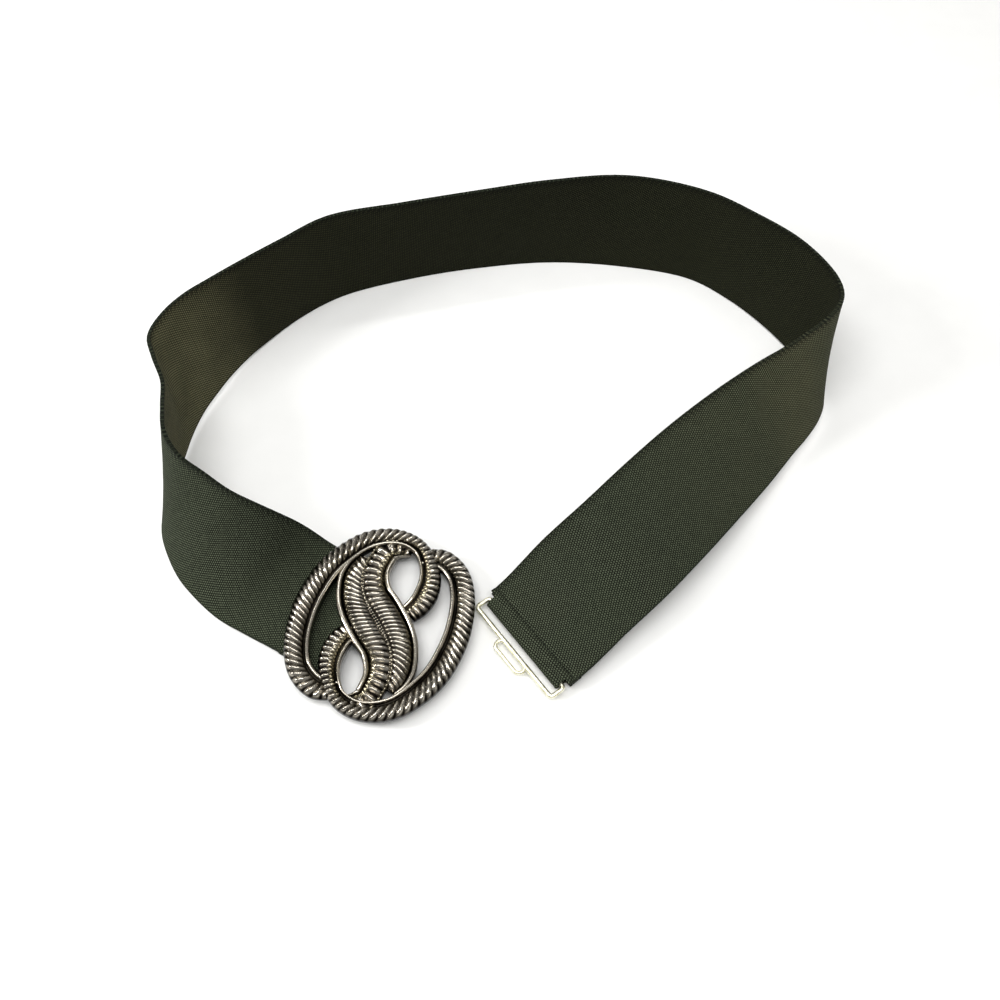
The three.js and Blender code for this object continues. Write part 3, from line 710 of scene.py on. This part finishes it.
class BELT_OT_buckle(bpy.types.Operator):
    """Builds the ribbed casting with its strap bar and hook"""

    bl_idname = "belt.buckle"
    bl_label = "Build buckle"

    def strip(self, settings, rows, profile, rim_side):
        """A closed ribbed strip along the rows, lying on z = 0."""
        samples = 4000
        number = np.linspace(0, len(rows) - 1, samples)
        fine = curve_at(np.column_stack([rows[:, :2], np.zeros(len(rows))]), number)
        reach = np.r_[0, np.cumsum(np.linalg.norm(np.diff(fine, axis=0), axis=1))]
        s = np.linspace(0, reach[-1], int(reach[-1] * MM / settings.step))
        line = np.column_stack([np.interp(s, reach, fine[:, k]) for k in (0, 1)])
        at = np.interp(s, reach, number)
        width, crest, slant, pitch, grains = (
            np.interp(at, np.arange(len(rows)), rows[:, k])[:, None] for k in range(2, 7))
        way = unit(np.gradient(line, axis=0))
        right = np.column_stack([way[:, 1], -way[:, 0]]) * rim_side
        share, height, ribbed, beaded, grained, gold = profile.T
        side = (share - 0.5) * width
        ribs_passed = np.cumsum(np.gradient(s)[:, None] / pitch, axis=0)
        off_crest = np.abs(2 * ((ribs_passed + slant * side / pitch) % 1) - 1)
        groove = (0.5 - 0.5 * np.cos(np.pi * off_crest)) * ribbed
        bead = np.abs(np.sin(np.pi * s[:, None] * MM / settings.bead_pitch)) * beaded
        along = s[:, None] * MM / settings.grain_pitch
        across = side * MM / settings.grain_pitch * 1.1
        grain = np.abs(np.sin(np.pi * (along + 0.5 * np.floor(across)))) * np.abs(np.sin(np.pi * across))
        grainy = grained * grains
        grain = grain**0.7 * grainy
        # the ribs fade out under the grains
        ribs_left = 1 - 0.8 * grainy
        z = height * crest - groove * ribs_left * settings.rib_depth * pitch
        z += (bead * settings.bead_height + grain * settings.grain_height - grainy * settings.grain_bed) / MM
        z[:, [0, -1]] = 0
        # the plate's tone: lighter up the crests and darker in the grooves; the rim is painted lighter
        # still, partly for its polish and partly as painted highlight
        shade = 1.1 * off_crest**3 * ribbed * ribs_left
        # painted highlight on the rim, over its polish
        rim = 0.3 * (share > 0.84)
        relief = 1.5 * height - 0.45 - shade + rim
        relief = relief + 0.7 * (bead - 0.8 * beaded) + (1.1 * grain - 0.8) * grainy
        tint = gold * np.maximum(grains, 0.3) * (0.35 + grain + bead)
        order = np.r_[np.arange(len(share)), 0]
        deselect()
        columns = len(s) - 1
        bpy.ops.mesh.primitive_grid_add(x_subdivisions=columns, y_subdivisions=len(order) - 1, size=2)
        strip = bpy.context.active_object
        column, place = grid_spots(strip, columns, len(order) - 1)
        place = order[place]
        flat = line[column] + right[column] * side[column, place][:, None]
        points = np.column_stack([flat, z[column, place]]) * MM
        strip.data.vertices.foreach_set("co", points.ravel())
        for key, values in (("relief", relief), ("tint", tint)):
            layer = strip.data.attributes.new(key, "FLOAT", "POINT")
            layer.data.foreach_set("value", np.clip(values[column, place], 0, 1).astype(np.float32))
        bpy.ops.object.mode_set(mode="EDIT")
        bpy.ops.mesh.select_all(action="SELECT")
        bpy.ops.mesh.remove_doubles(threshold=1e-6)
        bpy.ops.mesh.fill_holes(sides=0)
        bpy.ops.mesh.select_all(action="SELECT")
        bpy.ops.mesh.normals_make_consistent(inside=False)
        bpy.ops.object.mode_set(mode="OBJECT")
        return strip

    def plain(self, obj, rounding):
        """Rounds a plain part's edges and gives it the plate's middle tone."""
        if rounding:
            edge = obj.modifiers.new("edges", "BEVEL")
            edge.width = rounding
            edge.segments = 2
            edge.limit_method = "ANGLE"
            apply_modifiers(obj)
        for key, value in (("relief", 0.55), ("tint", 0.0)):
            layer = obj.data.attributes.new(key, "FLOAT", "POINT")
            layer.data.foreach_set("value", np.full(len(obj.data.vertices), value, dtype=np.float32))
        return obj

    def block(self, settings, low, high):
        deselect()
        middle, size = (np.array(low) + np.array(high)) / 2, np.array(high) - np.array(low)
        bpy.ops.mesh.primitive_cube_add(size=1, location=middle * MM, scale=size * MM)
        obj = bpy.context.active_object
        settle(obj)
        return self.plain(obj, settings.edge_round)

    def execute(self, context):
        settings = context.scene.belt_buckle
        ring = self.strip(settings, RING_ROWS, RING_PROFILE, 1)
        lobe = self.strip(settings, LOBE_ROWS, LOBE_PROFILE, -1)
        parts = [ring, lobe]
        for part, middle in ((ring, RING_TURN), (lobe, LOBE_TURN)):
            turn = Matrix.Translation(Vector((*middle, 0)) * 2 * MM) @ Matrix.Rotation(math.pi, 4, "Z")
            parts.append(copied(part, turn))
        bar, x, y = FOLD["bar"], CASTING["bar_x"], CASTING["bar_y"]
        deep = bar + 2 * GAP + THICKNESS
        half = WIDTH / 2 + CASTING["post_reach"]
        deselect()
        bpy.ops.mesh.primitive_cylinder_add(
            vertices=24, radius=bar * MM, depth=2 * half * MM,
            location=Vector((x, y, -deep)) * MM, rotation=(math.pi / 2, 0, 0))
        rod = context.active_object
        settle(rod)
        parts.append(self.plain(rod, 0))
        for end in (y - half, y + half):
            parts.append(self.block(settings, (x - bar, end - bar, -deep - bar), (x + bar, end + bar, 1)))
        front, back, room = y + HOOK["half"], y - HOOK["half"], HOOK["room"]
        left, right = HOOK["left"], HOOK["right"]
        parts.append(self.block(settings, (left, back, -room - HOOK["thickness"]), (right, front, -room)))
        parts.append(self.block(settings, (right - HOOK["post"], back, -room - 0.1), (right, front, 1)))
        buckle = joined(parts, "cast_buckle")
        place = bar_place(FOLD, LENGTH - bar - GAP - THICKNESS)
        place = place @ Matrix.Rotation(math.radians(CASTING["hang"]), 4, "Y")
        settle(buckle, place @ Matrix.Translation(Vector((-x, -y, deep)) * MM))
        smooth(buckle, 80)
        plate = antiqued_plate((settings.dark, settings.middle, settings.bright, settings.brass))
        finish(buckle, plate, "belt")
        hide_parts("buckle")
        return {"FINISHED"}


class BELT_OT_clasp(bpy.types.Operator):
    """Bends the clasp's wire loop and its eye"""

    bl_idname = "belt.clasp"
    bl_label = "Build clasp"

    def wire(self, settings, low, high, corner, radius):
        """A round wire bent into a rectangle with round corners."""
        deselect()
        middle, size = (np.array(low) + np.array(high)) / 2, np.array(high) - np.array(low)
        bpy.ops.mesh.primitive_plane_add(size=1, location=(*middle * MM, 0))
        obj = bpy.context.active_object
        obj.scale = (*size * MM, 1)
        settle(obj)
        bpy.ops.object.mode_set(mode="EDIT")
        bpy.ops.mesh.select_all(action="SELECT")
        bpy.ops.mesh.bevel(offset=corner * MM, segments=settings.bend_steps, affect="VERTICES")
        bpy.ops.mesh.delete(type="ONLY_FACE")
        bpy.ops.object.mode_set(mode="OBJECT")
        pick(obj)
        bpy.ops.object.convert(target="CURVE")
        curve = bpy.context.active_object
        curve.data.bevel_depth = radius * MM
        curve.data.bevel_resolution = 4
        bpy.ops.object.convert(target="MESH")
        return bpy.context.active_object

    def execute(self, context):
        settings = context.scene.belt_clasp
        reach = HEM["bar"] + GAP + THICKNESS
        outer = reach + CLASP["room"] + CLASP["wire"]
        half = WIDTH / 2 - CLASP["wire"]
        loop = self.wire(settings, (-outer, -half), (0, half), CLASP["corner"], CLASP["wire"])
        eye_half = EYE["length"] / 2 - EYE["wire"]
        low, high = EYE["offset"] - eye_half, EYE["offset"] + eye_half
        # a hair under half the eye's reach, so that the two corners of an end don't meet
        corner = EYE["reach"] / 2 - 0.05
        eye = self.wire(settings, (-outer - EYE["reach"], low), (-outer, high), corner, EYE["wire"])
        clasp = joined([loop, eye], "clasp_wire")
        settle(clasp, bar_place(HEM, reach) @ Matrix.Rotation(math.radians(CLASP["tilt"]), 4, "Y"))
        smooth(clasp, 60)
        finish(clasp, plated_wire((settings.dull, settings.plate, settings.polished)), "clasp")
        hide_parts("clasp_loop")
        return {"FINISHED"}


class BELT_OT_stage(bpy.types.Operator):
    """Sets the floor, the soft lights and the camera"""

    bl_idname = "belt.stage"
    bl_label = "Build stage"

    def light(self, name, place, size, power):
        lamp = bpy.data.lights.new(name, "AREA")
        lamp.shape = "RECTANGLE"
        lamp.size, lamp.size_y = size
        lamp.energy = power
        obj = bpy.data.objects.new(name, lamp)
        bpy.context.scene.collection.objects.link(obj)
        obj.location = place
        obj.rotation_euler = (-Vector(place)).to_track_quat("-Z", "Y").to_euler()

    def execute(self, context):
        settings = context.scene.belt_stage
        deselect()
        bpy.ops.mesh.primitive_plane_add(size=settings.floor, location=(0, 0, CAD_LOW.z))
        floor = context.active_object
        floor.name = "floor"
        floor.data.materials.append(white_paper((settings.pulp, settings.paper)))
        for name, (place, size, power) in LIGHTS.items():
            self.light(name, place, size, power)
        world = bpy.data.worlds.new("studio_room")
        world.use_nodes = True
        room = world.node_tree.nodes["Background"]
        room.inputs["Color"].default_value = (1.0, 0.99, 0.97, 1.0)
        room.inputs["Strength"].default_value = settings.sky
        context.scene.world = world
        context.scene.view_settings.view_transform = "Standard"
        data = bpy.data.cameras.new("camera")
        data.lens = settings.lens
        data.sensor_width = 36
        data.clip_start = 0.01
        camera = bpy.data.objects.new("camera", data)
        context.scene.collection.objects.link(camera)
        camera.location = (PLACE + np.array(CAMERA["place"])) * MM
        camera.rotation_euler = (math.radians(CAMERA["tilt"]), 0, 0)
        context.scene.camera = camera
        return {"FINISHED"}


class BELT_PT_panel(bpy.types.Panel):
    bl_label = "Belt"
    bl_idname = "BELT_PT_panel"
    bl_space_type = "VIEW_3D"
    bl_region_type = "UI"
    bl_category = "Belt"

    def draw(self, context):
        for operator in OPERATORS:
            self.layout.operator(operator.bl_idname)


SETTINGS = {
    "belt_band": BandSettings,
    "belt_stitches": StitchSettings,
    "belt_buckle": BuckleSettings,
    "belt_clasp": ClaspSettings,
    "belt_stage": StageSettings,
}
OPERATORS = (BELT_OT_band, BELT_OT_stitches, BELT_OT_buckle, BELT_OT_clasp, BELT_OT_stage)


def register():
    for name, group in SETTINGS.items():
        bpy.utils.register_class(group)
        setattr(bpy.types.Scene, name, bpy.props.PointerProperty(type=group))
    for operator in OPERATORS:
        bpy.utils.register_class(operator)
    bpy.utils.register_class(BELT_PT_panel)


def unregister():
    bpy.utils.unregister_class(BELT_PT_panel)
    for operator in reversed(OPERATORS):
        bpy.utils.unregister_class(operator)
    for name, group in reversed(SETTINGS.items()):
        delattr(bpy.types.Scene, name)
        bpy.utils.unregister_class(group)


def main():
    register()
    bpy.ops.belt.band()
    bpy.ops.belt.stitches()
    bpy.ops.belt.buckle()
    bpy.ops.belt.clasp()
    bpy.ops.belt.stage()


if __name__ == "__main__":
    main()
